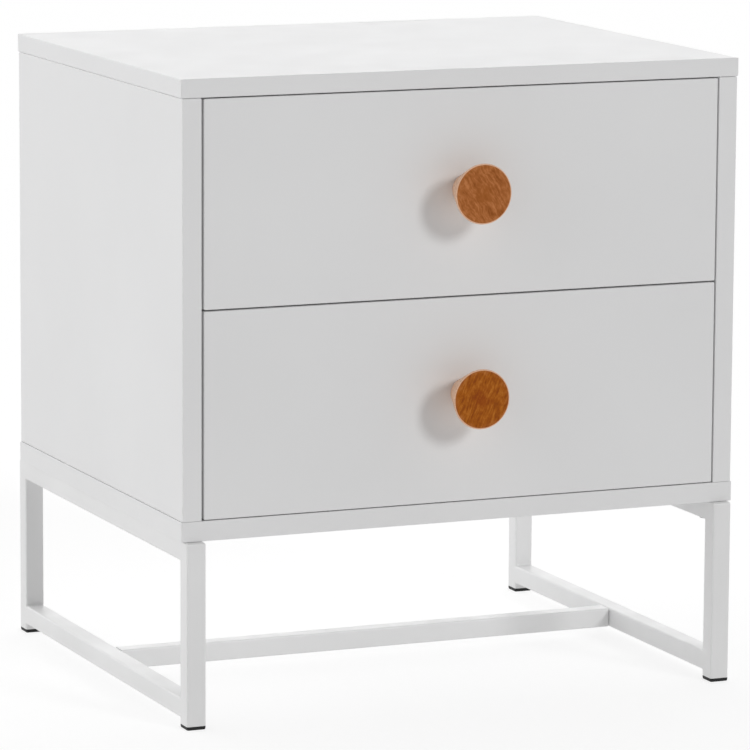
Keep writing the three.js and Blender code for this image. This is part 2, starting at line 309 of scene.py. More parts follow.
def objectPlace(tree):
    return addNode(tree, "TexCoord", {}).outputs["Object"]


def attribute(tree, name, output="Fac"):
    return addNode(tree, "Attribute", {}, attribute_name=name).outputs[output]


def stretched(tree, vector, scale=(1, 1, 1), turn=(0, 0, 0), shift=(0, 0, 0)):
    inputs = {"Vector": vector, "Scale": scale, "Rotation": turn, "Location": shift}
    return addNode(tree, "Mapping", inputs).outputs["Vector"]


def noise(tree, vector, scale, detail=2.0, rough=0.5, distort=0.0):
    inputs = {"Vector": vector, "Scale": scale, "Detail": detail}
    inputs |= {"Roughness": rough, "Distortion": distort}
    return addNode(tree, "TexNoise", inputs).outputs["Fac"]


def maths(tree, operation, first, second=0.0, clamp=False):
    node = addNode(tree, "Math", {0: first, 1: second}, operation=operation, use_clamp=clamp)
    return node.outputs[0]


def weighted(tree, *terms):
    # the sum of several values, each times its share
    total, *others = [maths(tree, "MULTIPLY", value, share) for value, share in terms]
    for part in others:
        total = maths(tree, "ADD", total, part)
    return total


def spread(tree, value, fromRange, toRange):
    inputs = {"Value": value, "From Min": fromRange[0], "From Max": fromRange[1]}
    inputs |= {"To Min": toRange[0], "To Max": toRange[1]}
    return addNode(tree, "MapRange", inputs).outputs["Result"]


def color(*parts):
    return (*parts, 1)


def blendColor(tree, share, first, second, way="MIX"):
    # a Mix node has its two colors at 6 and 7, and the mixed one at 2
    inputs = {0: share, 6: first, 7: second}
    return addNode(tree, "Mix", inputs, data_type="RGBA", blend_type=way).outputs[2]


def ramp(tree, share, stops):
    node = addNode(tree, "ValToRGB", {"Fac": share})
    elements = node.color_ramp.elements
    while len(elements) < len(stops):
        elements.new(0.5)
    for element, (position, tone) in zip(elements, stops):
        element.position = position
        element.color = color(*tone)
    return node.outputs["Color"]


def toned(tree, share, look):
    # from the look's dark tone to its light one, over its tone range
    low, high = look["toneRange"]
    return ramp(tree, share, [(low, look["dark"]), (high, look["light"])])


def edgeWearAndHighlight(tree, tone, wearAndHighlight, edgeTone):
    # the edge tone shows where a patch meets an edge: real wear on screws and feet, a painted
    # highlight on boards, tubes and foil
    share = maths(tree, "MULTIPLY", attribute(tree, "edge"), wearAndHighlight, clamp=True)
    return blendColor(tree, share, tone, color(*edgeTone))


def roughen(tree, shader, value, look):
    connect(tree, shader, "Roughness", spread(tree, value, noiseRange, look["roughness"]))


def bump(tree, shader, height, look):
    inputs = {"Height": height, "Distance": look["bumpDepth"], "Strength": look["bumpStrength"]}
    connect(tree, shader, "Normal", addNode(tree, "Bump", inputs).outputs["Normal"])


noiseRange = (0.3, 0.7)  # noise seldom leaves it

lacquer = {
    "dark": (0.838, 0.838, 0.841),
    "light": (0.870, 0.870, 0.873),
    # the edge tone is a painted highlight on the rounded edges
    "edge": (0.91, 0.91, 0.91),
    "toneRange": noiseRange,
    "roughness": (0.42, 0.52),
    "cloudScale": 5.0,
    "glossScale": 35.0,
    # size of the patches that carry the painted edge highlight
    "wearAndHighlightScale": 60.0,
    "peelScale": 420.0,
    "speckScale": 1500.0,
    "speckTone": (0.985, 1.01),
    "gritScale": 2600.0,
    "gritShare": 0.25,
    "bumpDepth": 0.00012,
    "bumpStrength": 0.35,
}


def makeLacquer():
    # matt white lacquer on board: faint clouds of tone, fine specks, orange peel, and paler edges
    # in patches, which are a painted highlight
    material, tree, shader = newMaterial("whiteLacquer")
    where = objectPlace(tree)
    tone = toned(tree, noise(tree, where, lacquer["cloudScale"], detail=3.0), lacquer)
    specks = noise(tree, where, lacquer["speckScale"], detail=3.0, rough=0.7)
    specks = spread(tree, specks, noiseRange, lacquer["speckTone"])
    tone = blendColor(tree, 1.0, tone, specks, "MULTIPLY")
    wearAndHighlight = noise(tree, where, lacquer["wearAndHighlightScale"], detail=3.0)
    connect(tree, shader, "Base Color", edgeWearAndHighlight(tree, tone, wearAndHighlight, lacquer["edge"]))
    roughen(tree, shader, noise(tree, where, lacquer["glossScale"], detail=4.0), lacquer)
    peel = noise(tree, where, lacquer["peelScale"])
    grit = noise(tree, where, lacquer["gritScale"])
    bump(tree, shader, weighted(tree, (peel, 1.0), (grit, lacquer["gritShare"])), lacquer)
    return material


powder = {
    "dark": (0.845, 0.845, 0.845),
    "light": (0.885, 0.885, 0.885),
    # the edge tone is a painted highlight on the rounded tube edges
    "edge": (0.93, 0.93, 0.93),
    "toneRange": noiseRange,
    "roughness": (0.34, 0.48),
    "cloudScale": 12.0,
    "glossScale": 60.0,
    # size of the patches that carry the painted edge highlight
    "wearAndHighlightScale": 90.0,
    "rippleScale": 160.0,
    "rippleShare": 1.6,
    "grainScale": 900.0,
    "bumpDepth": 0.00012,
    "bumpStrength": 0.3,
}


def makePowderCoat():
    # white powder coat on steel tube: fine pebbled skin, slightly glossier than the boards
    material, tree, shader = newMaterial("whitePowderCoat")
    where = objectPlace(tree)
    tone = toned(tree, noise(tree, where, powder["cloudScale"], detail=3.0), powder)
    # the paler edge tone, in patches, is a painted highlight
    wearAndHighlight = noise(tree, where, powder["wearAndHighlightScale"], detail=3.0)
    connect(tree, shader, "Base Color", edgeWearAndHighlight(tree, tone, wearAndHighlight, powder["edge"]))
    roughen(tree, shader, noise(tree, where, powder["glossScale"], detail=3.0), powder)
    inputs = {"Vector": where, "Scale": powder["grainScale"]}
    cells = addNode(tree, "TexVoronoi", inputs, feature="SMOOTH_F1").outputs["Distance"]
    ripple = noise(tree, where, powder["rippleScale"])
    bump(tree, shader, weighted(tree, (cells, 1.0), (ripple, powder["rippleShare"])), powder)
    return material


fibreboard = {
    "dark": (0.73, 0.72, 0.70),
    "light": (0.80, 0.79, 0.775),
    "fleck": (0.60, 0.55, 0.48),
    "toneRange": (0.3, 0.62),
    "roughness": (0.6, 0.78),
    "fibreScale": 240.0,
    "fibreStretch": (1.0, 1.0, 2.4),
    "fleckScale": 520.0,
    "fleckStretch": (1.0, 1.0, 3.0),
    "fleckRange": (0.72, 0.78),
    "fleckShare": (0.0, 0.6),
    "screenPitch": 0.0014,
    "screenShare": 0.12,
    "bumpDepth": 0.0003,
    "bumpStrength": 0.4,
}


def makeHardboard():
    # thin painted hardboard: pressed fibres, a few darker flecks, a faint screen pattern
    material, tree, shader = newMaterial("paintedHardboard")
    where = objectPlace(tree)
    drawn = stretched(tree, where, fibreboard["fibreStretch"])
    fibres = noise(tree, drawn, fibreboard["fibreScale"], detail=5.0, rough=0.65, distort=0.6)
    tone = toned(tree, fibres, fibreboard)
    drawn = stretched(tree, where, fibreboard["fleckStretch"])
    flecks = noise(tree, drawn, fibreboard["fleckScale"])
    flecks = spread(tree, flecks, fibreboard["fleckRange"], fibreboard["fleckShare"])
    tone = blendColor(tree, flecks, tone, color(*fibreboard["fleck"]))
    connect(tree, shader, "Base Color", tone)
    roughen(tree, shader, fibres, fibreboard)
    parts = addNode(tree, "SeparateXYZ", {"Vector": where}).outputs
    rate = fullTurn / fibreboard["screenPitch"]
    waves = [maths(tree, "SINE", maths(tree, "MULTIPLY", parts[axis], rate)) for axis in "XYZ"]
    screen = [(wave, fibreboard["screenShare"]) for wave in waves]
    bump(tree, shader, weighted(tree, (fibres, 1.0), *screen), fibreboard)
    return material


foil = {
    "dark": (0.79, 0.785, 0.77),
    "light": (0.85, 0.845, 0.832),
    # the edge tone is a painted highlight on the rounded edges
    "edge": (0.89, 0.888, 0.88),
    "toneRange": (0.3, 0.68),
    "roughness": (0.45, 0.58),
    "grainScale": 160.0,
    "grainStretch": (1.0, 0.06, 1.0),
    # size of the patches that carry the painted edge highlight
    "wearAndHighlightScale": 80.0,
    "poreScale": 700.0,
    "poreStretch": (1.0, 0.12, 1.0),
    "poreRange": (0.55, 0.7),
    "bumpDepth": 0.00008,
    "bumpStrength": 0.5,
}


def makeDrawerFoil():
    # white foil on the drawer boxes: a faint printed grain along the drawer, with short pores
    material, tree, shader = newMaterial("whiteFoil")
    where = objectPlace(tree)
    drawn = stretched(tree, where, foil["grainStretch"])
    grain = noise(tree, drawn, foil["grainScale"], detail=4.0, rough=0.6, distort=0.4)
    # the paler edge tone, in patches, is a painted highlight
    wearAndHighlight = noise(tree, where, foil["wearAndHighlightScale"])
    tone = edgeWearAndHighlight(tree, toned(tree, grain, foil), wearAndHighlight, foil["edge"])
    connect(tree, shader, "Base Color", tone)
    roughen(tree, shader, grain, foil)
    pores = noise(tree, stretched(tree, where, foil["poreStretch"]), foil["poreScale"])
    bump(tree, shader, spread(tree, pores, foil["poreRange"], (1.0, 0.0)), foil)
    return material


zincPlate = {
    "dark": (0.40, 0.41, 0.42),
    "light": (0.66, 0.68, 0.69),
    "toneRange": (0.3, 0.68),
    "roughness": (0.24, 0.42),
    "lineScale": 1600.0,
    "lineStretch": (1.0, 0.03, 1.0),
    "patchScale": 45.0,
    "patchShare": 0.7,
    "spangleScale": 320.0,
    "spangleShare": 0.3,
    "bumpDepth": 0.00003,
    "bumpStrength": 0.5,
}


def makeZinc():
    # bright zinc on rolled steel: draw lines along the depth, soft spangle, dulled patches
    material, tree, shader = newMaterial("zincPlate", Metallic=1.0)
    where = objectPlace(tree)
    patches = noise(tree, where, zincPlate["patchScale"], detail=4.0, rough=0.6)
    inputs = {"Vector": where, "Scale": zincPlate["spangleScale"]}
    cells = addNode(tree, "TexVoronoi", inputs).outputs["Color"]
    spangle = addNode(tree, "RGBToBW", {"Color": cells}).outputs["Val"]
    terms = (patches, zincPlate["patchShare"]), (spangle, zincPlate["spangleShare"])
    connect(tree, shader, "Base Color", toned(tree, weighted(tree, *terms), zincPlate))
    roughen(tree, shader, patches, zincPlate)
    drawn = stretched(tree, where, zincPlate["lineStretch"])
    bump(tree, shader, noise(tree, drawn, zincPlate["lineScale"], detail=3.0, rough=0.7), zincPlate)
    return material


darkSteel = {
    "dark": (0.10, 0.10, 0.105),
    "light": (0.30, 0.30, 0.31),
    "edge": (0.52, 0.52, 0.53),
    "toneRange": (0.35, 0.7),
    "roughness": (0.3, 0.5),
    "patchScale": 700.0,
    "grainScale": 3000.0,
    "bumpDepth": 0.00003,
    "bumpStrength": 0.5,
}


def makeScrewSteel():
    # darkened screw steel: oily patches, and brighter metal where a driver has rubbed the edges
    material, tree, shader = newMaterial("darkScrewSteel", Metallic=1.0)
    where = objectPlace(tree)
    patches = noise(tree, where, darkSteel["patchScale"], detail=4.0, rough=0.6)
    tone = edgeWearAndHighlight(tree, toned(tree, patches, darkSteel), patches, darkSteel["edge"])
    connect(tree, shader, "Base Color", tone)
    roughen(tree, shader, patches, darkSteel)
    bump(tree, shader, noise(tree, where, darkSteel["grainScale"]), darkSteel)
    return material


footPlastic = {
    "dark": (0.004, 0.004, 0.0045),
    "light": (0.010, 0.010, 0.011),
    "edge": (0.035, 0.035, 0.035),
    "toneRange": noiseRange,
    "roughness": (0.5, 0.66),
    "cloudScale": 220.0,
    "glossScale": 300.0,
    "scuffScale": 900.0,
    "scuffRange": (0.5, 0.7),
    "grainScale": 2400.0,
    "bumpDepth": 0.00006,
    "bumpStrength": 0.6,
}


def makeBlackPlastic():
    # moulded black plastic: fine sparked texture, greyer scuffs on the edges that meet the floor
    material, tree, shader = newMaterial("blackPlastic")
    where = objectPlace(tree)
    tone = toned(tree, noise(tree, where, footPlastic["cloudScale"], detail=3.0), footPlastic)
    scuffs = noise(tree, where, footPlastic["scuffScale"], detail=3.0, rough=0.7)
    scuffs = spread(tree, scuffs, footPlastic["scuffRange"], (0.0, 1.0))
    connect(tree, shader, "Base Color", edgeWearAndHighlight(tree, tone, scuffs, footPlastic["edge"]))
    roughen(tree, shader, noise(tree, where, footPlastic["glossScale"]), footPlastic)
    bump(tree, shader, noise(tree, where, footPlastic["grainScale"], detail=3.0), footPlastic)
    return material


# The two knobs are cut from different blanks, so each has its own tones and ring direction.
woodTones = {
    "upper": {
        "dark": (0.29, 0.077, 0.008),
        "middle": (0.425, 0.134, 0.029),
        "light": (0.58, 0.215, 0.068),
        "heart": (0.36, 0.102, 0.012),
        "lineTurn": math.radians(33),
        "seed": 3.1,
    },
    "lower": {
        "dark": (0.25, 0.049, 0.0005),
        "middle": (0.39, 0.099, 0.001),
        "light": (0.535, 0.175, 0.017),
        "heart": (0.30, 0.053, 0.0002),
        "lineTurn": math.radians(-22),
        "seed": 7.4,
    },
}

knobWood = {
    "light": (0.87, 0.57, 0.40),
    "dark": (0.74, 0.43, 0.26),
    "toneRange": (0.3, 0.6),
    "rimBand": (0.51, 0.19, 0.06),
    "gloss": 0.15,
    "roughness": (0.38, 0.55),
    "wobbleScale": 90.0,
    "wobbleReach": 0.005,
    "ringScale": 620.0,
    "ringStretch": (1.0, 0.3, 0.13),
    "ringShare": 0.45,
    "streakScale": 1500.0,
    "streakStretch": (1.0, 0.3, 0.22),
    "streakShare": 0.2,
    "cloudScale": 170.0,
    "cloudShare": 0.35,
    "toneStops": (0.38, 0.5, 0.62),
    "fleckScale": 430.0,
    "fleckRange": (0.6, 0.72),
    "fleckShare": (0.0, 0.5),
    "ragged": 0.016,
    "heartReach": (0.0015, 0.0095),
    "heartShare": (0.6, 0.0),
    "bandReach": (0.0188, 0.0218),
    "bandShare": (0.0, 0.6),
    "fibreScale": 1100.0,
    "fibreStretch": (1.0, 0.05, 1.0),
    "fibreDepth": 0.5,
    "ringGloss": 0.6,
    "bumpDepth": 0.00012,
    "bumpStrength": 0.35,
}


def faceGrain(tree, where, rings, lined, clouds, tones):
    # end grain: bent ring lines, dark flecks, a darker heart and a paler band inside the rim
    drawn = stretched(tree, lined, knobWood["streakStretch"])
    streaks = noise(tree, drawn, knobWood["streakScale"])
    terms = [
        (rings, knobWood["ringShare"]),
        (streaks, knobWood["streakShare"]),
        (clouds, knobWood["cloudShare"]),
    ]
    stops = zip(knobWood["toneStops"], (tones["dark"], tones["middle"], tones["light"]))
    grain = ramp(tree, weighted(tree, *terms), list(stops))
    flecks = noise(tree, lined, knobWood["fleckScale"])
    flecks = spread(tree, flecks, knobWood["fleckRange"], knobWood["fleckShare"])
    grain = blendColor(tree, flecks, grain, color(*tones["dark"]))
    reach = addNode(tree, "VectorMath", {0: where}, operation="LENGTH").outputs["Value"]
    unevenness = maths(tree, "SUBTRACT", clouds, 0.5)
    reach = weighted(tree, (reach, 1.0), (unevenness, knobWood["ragged"]))
    heart = spread(tree, reach, knobWood["heartReach"], knobWood["heartShare"])
    grain = blendColor(tree, heart, grain, color(*tones["heart"]))
    band = spread(tree, reach, knobWood["bandReach"], knobWood["bandShare"])
    band = maths(tree, "MULTIPLY", band, rings)
    return blendColor(tree, band, grain, color(*knobWood["rimBand"]))


def makeOiledWood(name, tones):
    # oiled hardwood: end grain on the face, where the oil soaks in and darkens it, and paler
    # long grain on the sides
    material, tree, shader = newMaterial(name, Specular_IOR_Level=knobWood["gloss"])
    where = attribute(tree, "fromKnob", "Vector")
    shifted = stretched(tree, where, shift=(tones["seed"], 0.0, tones["seed"]))
    wobble = noise(tree, shifted, knobWood["wobbleScale"])
    wobble = maths(tree, "MULTIPLY", wobble, knobWood["wobbleReach"])
    sideways = addNode(tree, "CombineXYZ", {"X": wobble, "Z": wobble}).outputs[0]
    bent = addNode(tree, "VectorMath", {0: shifted, 1: sideways}, operation="ADD").outputs[0]
    lined = stretched(tree, bent, turn=(0.0, tones["lineTurn"], 0.0))
    drawn = stretched(tree, lined, knobWood["ringStretch"])
    rings = noise(tree, drawn, knobWood["ringScale"], detail=2.0, rough=0.55)
    clouds = noise(tree, shifted, knobWood["cloudScale"], detail=3.0, rough=0.6)
    drawn = stretched(tree, shifted, knobWood["fibreStretch"])
    fibres = noise(tree, drawn, knobWood["fibreScale"], detail=3.0, rough=0.6)
    sides = toned(tree, fibres, knobWood)
    face = faceGrain(tree, where, rings, lined, clouds, tones)
    tone = blendColor(tree, attribute(tree, "onFace"), sides, face)
    connect(tree, shader, "Base Color", tone)
    ringGloss = knobWood["ringGloss"]
    gloss = weighted(tree, (rings, ringGloss), (clouds, 1 - ringGloss))
    roughen(tree, shader, gloss, knobWood)
    bump(tree, shader, weighted(tree, (rings, 1.0), (fibres, knobWood["fibreDepth"])), knobWood)
    return material


materialFor = {
    "white_board": makeLacquer(),
    "white_metal": makePowderCoat(),
    "hardboard": makeHardboard(),
    "drawer_box": makeDrawerFoil(),
    "zinc": makeZinc(),
    "screw_steel": makeScrewSteel(),
    "black_plastic": makeBlackPlastic(),
    "oiled_wood": makeOiledWood("oiledWoodUpper", woodTones["upper"]),
}
lowerKnobWood = makeOiledWood("oiledWoodLower", woodTones["lower"])
print("materials made")


fit = 0.0003  # room round a piece in its groove or hole
overcut = 0.001  # how far a cutter reaches past the face that it opens
cutterEdge = 0.0002  # radius of a plain cutter's own edges
legs = [(side, end) for side in ("left", "right") for end in ("front", "rear")]

cabinet = {
    "boardEdge": 0.0007,
    "lowerEdge": 0.0005,
    "cornerEdge": 0.0010,
    "topJoint": 0.0010,
    "bottomJoint": 0.0002,
    "panelEdge": 0.0003,
    "camSides": 40,
    "boreSides": 48,
    "camSlot": (0.0098, 0.0022, 0.0030),  # length, width and depth
    "camLip": 0.0006,
}


def grooveFor(node):
    # the panel's own box, a little larger
    low, high = grown(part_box(node), fit)
    return roundedBlock("z", low, high, cutterEdge, steps=1)


def makeBoards():
    low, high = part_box("top_board")
    ends = cabinet["topJoint"], cabinet["boardEdge"]
    shape = roundedBlock("z", low, high, cabinet["cornerEdge"], *ends)
    makePiece("topBoard", shape, "white_board", ["top_board"], cutters=[grooveFor("back_panel")])
    low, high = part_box("bottom_board")
    ends = cabinet["lowerEdge"], cabinet["bottomJoint"]
    shape = roundedBlock("z", low, high, cabinet["cornerEdge"], *ends)
    holes = [grooveFor("back_panel")]
    for side, end in legs:
        screwLow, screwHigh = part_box(f"{side}_frame_screw_{end}")
        centre = (screwLow + screwHigh) / 2
        top = screwHigh.z + fit
        holes.append(rod("z", centre[:2], screw["shank"] + fit, low.z - overcut, top))
    makePiece("bottomBoard", shape, "white_board", ["bottom_board"], cutters=holes)
    shape = roundedBlock("y", *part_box("back_panel"), cabinet["panelEdge"])
    makePiece("backPanel", shape, "hardboard", ["back_panel"])


def camShape(low, high, side):
    # a short drum with a raised lip round its face, which looks into the cabinet
    face = high.x if side == "left" else low.x
    back = low.x if side == "left" else high.x
    inward = 1 if side == "left" else -1
    radius = (high.z - low.z) / 2
    centre = (low.y + high.y) / 2, (low.z + high.z) / 2
    lip = cabinet["camLip"]
    profile = [
        (0, back),
        (radius - lip, back),
        (radius, back + inward * lip),
        (radius, face - inward * lip),
        (radius - lip, face),
        (radius - 2 * lip, face),
        (radius - 3 * lip, face - inward * lip),
        (0, face - inward * lip),
    ]
    return turned("x", centre, profile, cabinet["camSides"]), centre, face, inward


crossShape = {
    "corner": 0.2,  # of the width
    "outside": 0.3,  # of the depth
    "floorLength": 0.6,  # at the slot's floor, of the length at its mouth
    "floorWidth": 0.7,
    "floorCorner": 0.1,
}


def crossSlot(axis, centre, face, inward, length, width, depth):
    # two tapered bars across each other, from just outside the face down to the slot's floor
    halfLength, halfWidth = length / 2, width / 2
    corner, floorCorner = width * crossShape["corner"], width * crossShape["floorCorner"]
    floorLength = halfLength * crossShape["floorLength"]
    floorWidth = halfWidth * crossShape["floorWidth"]
    outside = face + inward * depth * crossShape["outside"]
    rows = [
        (halfLength, halfWidth, corner, outside),
        (halfLength, halfWidth, corner, face),
        (floorLength, floorWidth, floorCorner, face - inward * depth),
    ]
    crossed = [(second, first, radius, place) for first, second, radius, place in rows]
    return [squareSweep(axis, centre, bar, steps=2) for bar in (rows, crossed)]


def makeSidePanels():
    for side in ("left", "right"):
        low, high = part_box(f"{side}_side_panel")
        ends = cabinet["bottomJoint"], cabinet["topJoint"]
        shape = roundedBlock("z", low, high, cabinet["boardEdge"], *ends)
        cutters = [grooveFor("back_panel")]
        inner = high.x if side == "left" else low.x
        for level in ("top", "bottom"):
            for end in ("front", "rear"):
                node = f"{side}_cam_{level}_{end}"
                camLow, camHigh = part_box(node)
                drum, centre, face, inward = camShape(camLow, camHigh, side)
                far = camLow.x - fit if side == "left" else camHigh.x + fit
                radius = (camHigh.z - camLow.z) / 2 + fit
                bore = rod("x", centre, radius, far, inner + inward * overcut, cabinet["boreSides"])
                cutters.append(bore)
                slots = crossSlot("x", centre, face, inward, *cabinet["camSlot"])
                name = f"{side}Cam{level.capitalize()}{end.capitalize()}"
                makePiece(name, drum, "zinc", [node], cutters=slots)
        makePiece(f"{side}SidePanel", shape, "white_board", [f"{side}_side_panel"], cutters=cutters)


screw = {
    "shank": 0.002,
    "head": 0.004,
    "headHeight": 0.0022,
    "crown": 0.65,  # of the head's height
    "crownRings": 9,
    "tip": 0.002,
    "threadPitch": 0.0008,
    "threadDepth": 0.0003,
    "threadSteps": 6,
    "sides": 32,
    "slot": (0.0044, 0.0010, 0.0013),  # length, width and depth
}


def panHeadScrew(axis, centre, seat, end, headSize=1.0):
    # head below the seat and shank up to the end, in the direction from seat to end; the crown
    # is a quarter ellipse and the thread a row of ridges, each a sine of the place
    way = 1 if end > seat else -1
    height = screw["headHeight"] * headSize
    head = screw["head"] * headSize
    turn = np.linspace(0, quarterTurn, screw["crownRings"])
    rise = height * (1 - screw["crown"] + screw["crown"] * np.cos(turn))
    crownRows = np.stack([head * np.sin(turn), seat - way * rise], axis=1)
    pitch, depth = screw["threadPitch"], screw["threadDepth"]
    length = abs(end - seat) - screw["tip"]
    steps = max(int(length / pitch * screw["threadSteps"]), screw["threadSteps"])
    travel = np.linspace(0, length, steps)
    ridge = depth * (0.5 + 0.5 * np.cos(fullTurn * travel / pitch))
    shankRows = np.stack([screw["shank"] - depth + ridge, seat + way * travel], axis=1)
    profile = np.concatenate([crownRows, [(head, seat)], shankRows, [(0, end)]])
    shape = turned(axis, centre, profile, screw["sides"])
    slotSizes = [size * headSize for size in screw["slot"]]
    return shape, crossSlot(axis, centre, seat - way * height, -way, *slotSizes)


base = {
    "tubeEdge": 0.0016,
    "edgeSteps": 4,
    "tubeWall": 0.0015,
    "boreEdge": 0.0004,
    "endEase": 0.00015,
    "footEdge": 0.0014,
    "footEase": 0.0004,
    "footDraft": 0.0002,
    "plugEdge": 0.0006,
    "plugRib": 0.0004,
    "legGap": 0.0002,
    "legSpare": 0.004,
}


def frameCells(side):
    # the side frame as filled cells between the lines of its legs and rails: each cell is two
    # quads a tube's width apart, and a quad closes it wherever the next cell is empty
    frontLow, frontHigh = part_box(f"{side}_front_leg")
    rearLow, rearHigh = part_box(f"{side}_rear_leg")
    lowLow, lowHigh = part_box(f"{side}_lower_rail")
    topLow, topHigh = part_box(f"{side}_top_rail")
    depths = np.array([frontLow.y, frontHigh.y, rearLow.y, rearHigh.y])
    heights = np.array([frontLow.z - base["legSpare"], lowLow.z, lowHigh.z, topLow.z, topHigh.z])
    filled = np.array([[1, 0, 1], [1, 1, 1], [1, 0, 1], [1, 1, 1]], bool)
    y, z = np.meshgrid(depths, heights)
    count = y.size
    flat = np.stack([np.zeros(count), y.ravel(), z.ravel()], axis=1)
    points = np.concatenate([flat + (place, 0, 0) for place in (frontLow.x, frontHigh.x)])
    index = np.arange(count).reshape(y.shape)
    corners = [index[:-1, :-1], index[:-1, 1:], index[1:, 1:], index[1:, :-1]]
    quads = np.stack(corners, axis=-1)[filled]
    faces = np.concatenate([quads, quads[:, ::-1] + count])
    padded = np.pad(filled, 1)
    row, column = np.nonzero(padded[1:, 1:-1] != padded[:-1, 1:-1])
    level = np.stack([index[row, column], index[row, column + 1]], axis=1)
    row, column = np.nonzero(padded[1:-1, 1:] != padded[1:-1, :-1])
    upright = np.stack([index[row, column], index[row + 1, column]], axis=1)
    edges = np.concatenate([level, upright])
    walls = np.concatenate([edges, edges[:, ::-1] + count], axis=1)
    return points, np.concatenate([faces, walls]).tolist()


def makeSideFrames():
    for side in ("left", "right"):
        nodes = [f"{side}_{part}" for part in ("front_leg", "rear_leg", "top_rail", "lower_rail")]
        low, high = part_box(nodes[0])
        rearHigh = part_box(nodes[1])[1]
        spare = base["legSpare"] + overcut
        cutLow = Vector((low.x - spare, low.y - spare, low.z - 2 * spare))
        cutHigh = Vector((high.x + spare, rearHigh.y + spare, low.z))
        cutters = [roundedBlock("z", cutLow, cutHigh, cutterEdge, steps=1)]
        for end in ("front", "rear"):
            legLow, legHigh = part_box(f"{side}_{end}_leg")
            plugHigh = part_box(f"{side}_{end}_foot_cap")[1]
            wall = base["tubeWall"]
            boreLow = Vector((legLow.x + wall, legLow.y + wall, low.z - overcut))
            boreHigh = Vector((legHigh.x - wall, legHigh.y - wall, plugHigh.z + fit))
            cutters.append(roundedBlock("z", boreLow, boreHigh, base["boreEdge"], steps=2))
            screwLow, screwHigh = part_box(f"{side}_frame_screw_{end}")
            centre = (screwLow + screwHigh) / 2
            railLow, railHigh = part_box(f"{side}_top_rail")
            start, stop = railLow.z - overcut, railHigh.z + overcut
            cutters.append(rod("z", centre[:2], screw["shank"] + fit, start, stop))
        name = f"{side}SideFrame"
        rounding = base["tubeEdge"], base["edgeSteps"]
        makePiece(name, frameCells(side), "white_metal", nodes, cutters=cutters, bevel=rounding)


def makeStretcher():
    # outer wall from end to end, then back through the bore
    low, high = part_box("stretcher")
    half = (high.z - low.z) / 2
    centre = (low.y + high.y) / 2, (low.z + high.z) / 2
    ease, edge = base["endEase"], base["tubeEdge"]
    bore, boreEdge = half - base["tubeWall"], base["boreEdge"]
    rows = [
        (half - ease, half - ease, edge - ease, low.x),
        (half, half, edge, low.x + ease),
        (half, half, edge, high.x - ease),
        (half - ease, half - ease, edge - ease, high.x),
        (bore, bore, boreEdge, high.x),
        (bore, bore, boreEdge, low.x),
    ]
    cutters = []
    for side in ("left", "right"):
        screwLow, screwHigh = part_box(f"{side}_set_screw")
        radius = (screwHigh.x - screwLow.x) / 2 + fit
        middle = (screwLow + screwHigh) / 2
        cutters.append(rod("z", middle[:2], radius, low.z - overcut, low.z + half))
    shape = squareSweep("x", centre, rows, base["edgeSteps"], closedRows=True)
    makePiece("stretcherTube", shape, "white_metal", ["stretcher"], cutters=cutters)


def makeFootCaps():
    # a flat pad as wide as the leg, then a plug with two ribs inside it
    for side, end in legs:
        node = f"{side}_{end}_foot_cap"
        low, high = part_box(node)
        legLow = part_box(f"{side}_{end}_leg")[0]
        half = (high.x - low.x) / 2
        centre = (low.x + high.x) / 2, (low.y + high.y) / 2
        ease, draft, edge = base["footEase"], base["footDraft"], base["footEdge"]
        padTop = legLow.z - base["legGap"]
        plug = half - base["tubeWall"] - fit
        neck = plug - base["plugRib"]
        sizes = [neck, neck, plug, neck] * 2
        places = np.linspace(padTop, high.z, len(sizes))
        plugRows = [(size, size, base["plugEdge"], place) for size, place in zip(sizes, places)]
        rows = [
            (half - draft - ease, half - draft - ease, edge - ease, low.z),
            (half - draft, half - draft, edge, low.z + ease),
            (half, half, edge, padTop - ease / 2),
            (half - ease / 2, half - ease / 2, edge, padTop),
        ]
        shape = squareSweep("z", centre, rows + plugRows, steps=3)
        makePiece(f"{side}{end.capitalize()}Foot", shape, "black_plastic", [node])


def makeFrameScrews():
    for side, end in legs:
        node = f"{side}_frame_screw_{end}"
        low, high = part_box(node)
        centre = (low + high) / 2
        shape, slots = panHeadScrew("z", centre[:2], low.z + screw["headHeight"], high.z)
        name = f"{side}{end.capitalize()}FrameScrew"
        makePiece(name, shape, "screw_steel", [node], cutters=slots)


drawer = {
    "frontEdge": 0.0007,
    "frontCorner": 0.0010,
    "rearEdge": 0.0004,
    "boxEdge": 0.0009,
    "boxEnd": 0.0004,
    "bottomEdge": 0.0004,
}

knob = {
    "faceRadius": 0.0225,
    "rim": 0.0008,
    "baseRadius": 0.011,
    "baseEase": 0.0005,
    "seam": 0.0002,  # between the rim and the face's own grain
    "faceRings": (0.66, 0.33),
    "sides": 96,
    "rimSteps": 8,
    "coneSteps": 6,
}


def makeDrawerFront(name):
    low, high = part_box(f"{name}_drawer_front")
    ends = drawer["frontEdge"], drawer["rearEdge"]
    shape = roundedBlock("y", low, high, drawer["frontCorner"], *ends)
    screwLow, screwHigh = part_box(f"{name}_knob_screw")
    middle = (screwLow + screwHigh) / 2
    start, stop = low.y - overcut, high.y + overcut
    hole = rod("y", (middle.x, middle.z), screw["shank"] + fit, start, stop)
    cutters = [grooveFor(f"{name}_box_bottom"), hole]
    node = f"{name}_drawer_front"
    makePiece(f"{name}DrawerFront", shape, "white_board", [node], cutters=cutters)


